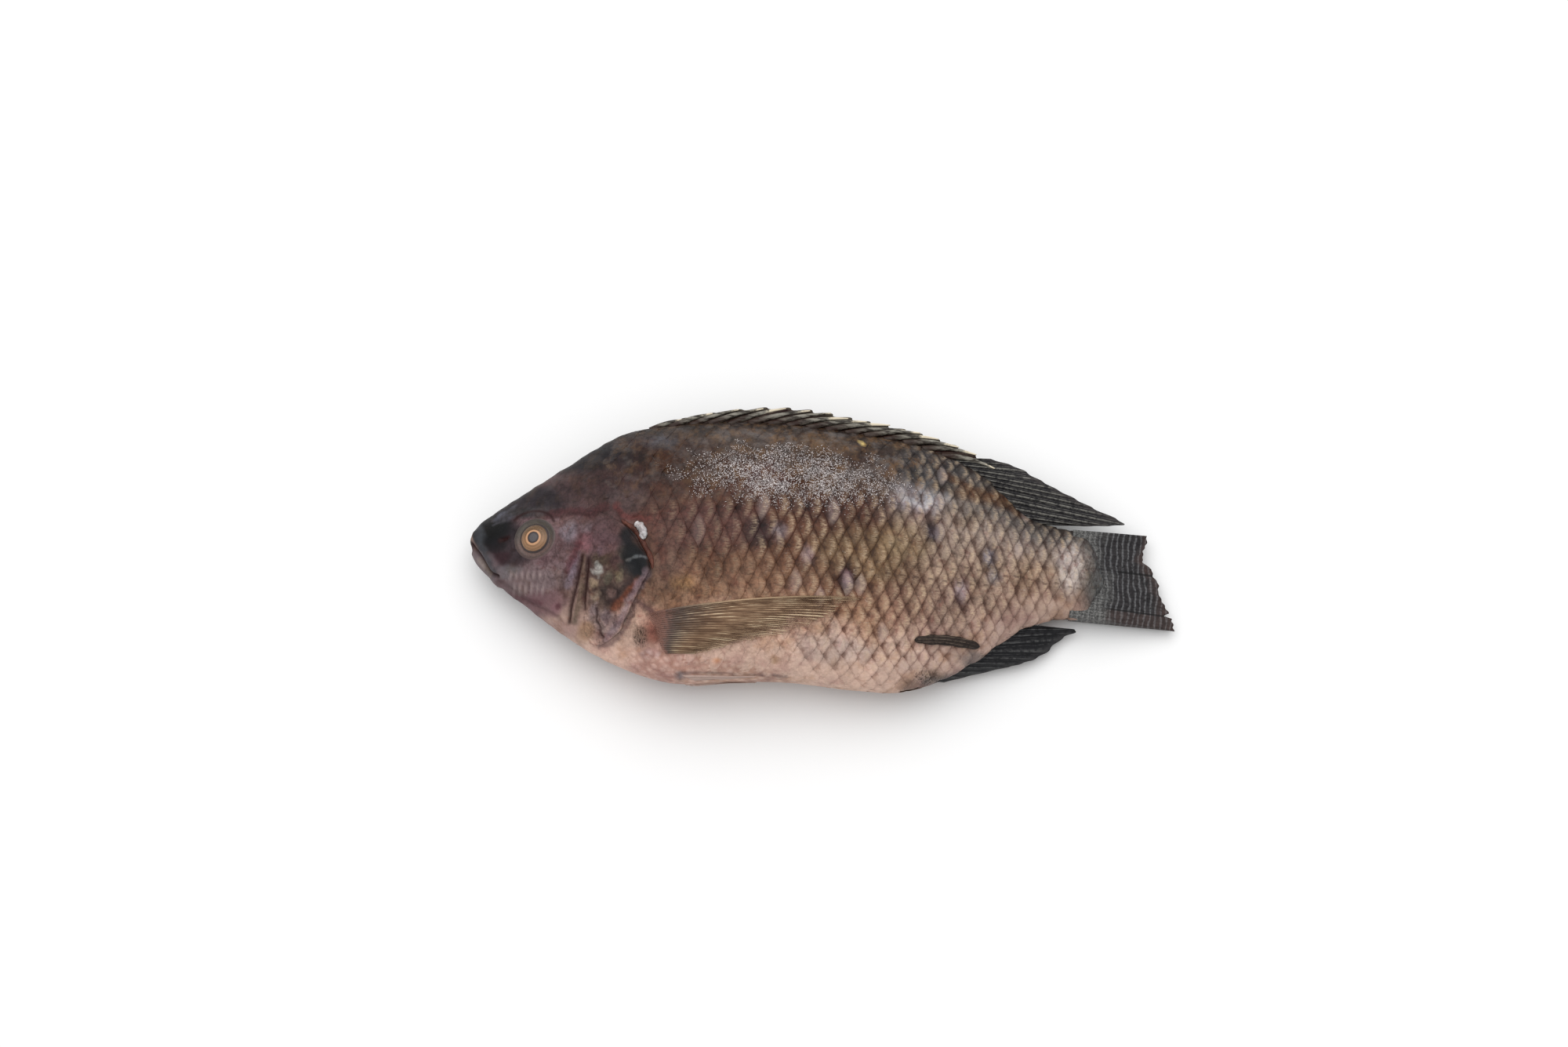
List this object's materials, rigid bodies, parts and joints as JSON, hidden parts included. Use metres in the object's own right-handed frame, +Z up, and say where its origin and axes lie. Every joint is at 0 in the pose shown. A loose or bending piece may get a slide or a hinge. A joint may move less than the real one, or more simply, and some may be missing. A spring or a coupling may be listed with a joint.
{
  "type": "whole raw fish",
  "caption": "Whole raw tilapia lying on its right side, scaly body with folded fins and a trimmed ragged tail.",
  "frame": {"origin": "middle of the flat spot on the right flank that the fish rests on", "axes": "+X runs along the fish from snout to tail, +Y from belly to back, +Z up out of the left flank"},
  "size_m": [0.2711, 0.1116, 0.044],
  "materials": {
    "flesh": "moist scaly skin, brown grey flank, pale pink belly, dark back",
    "head_skin": "moist smooth dark head skin with a pink brown cheek",
    "fin": "damp dark fin web with paler rays",
    "paired_fin": "damp brown fin web with cream rays",
    "spine": "dull dark bony spines with cream tips",
    "eye": "clouded wet eye with an amber and grey iris",
    "frost": "fine wet ice grains on the back"
  },
  "bodies": {
    "root": {"fish": "flesh"}
  },
  "joints": []
}
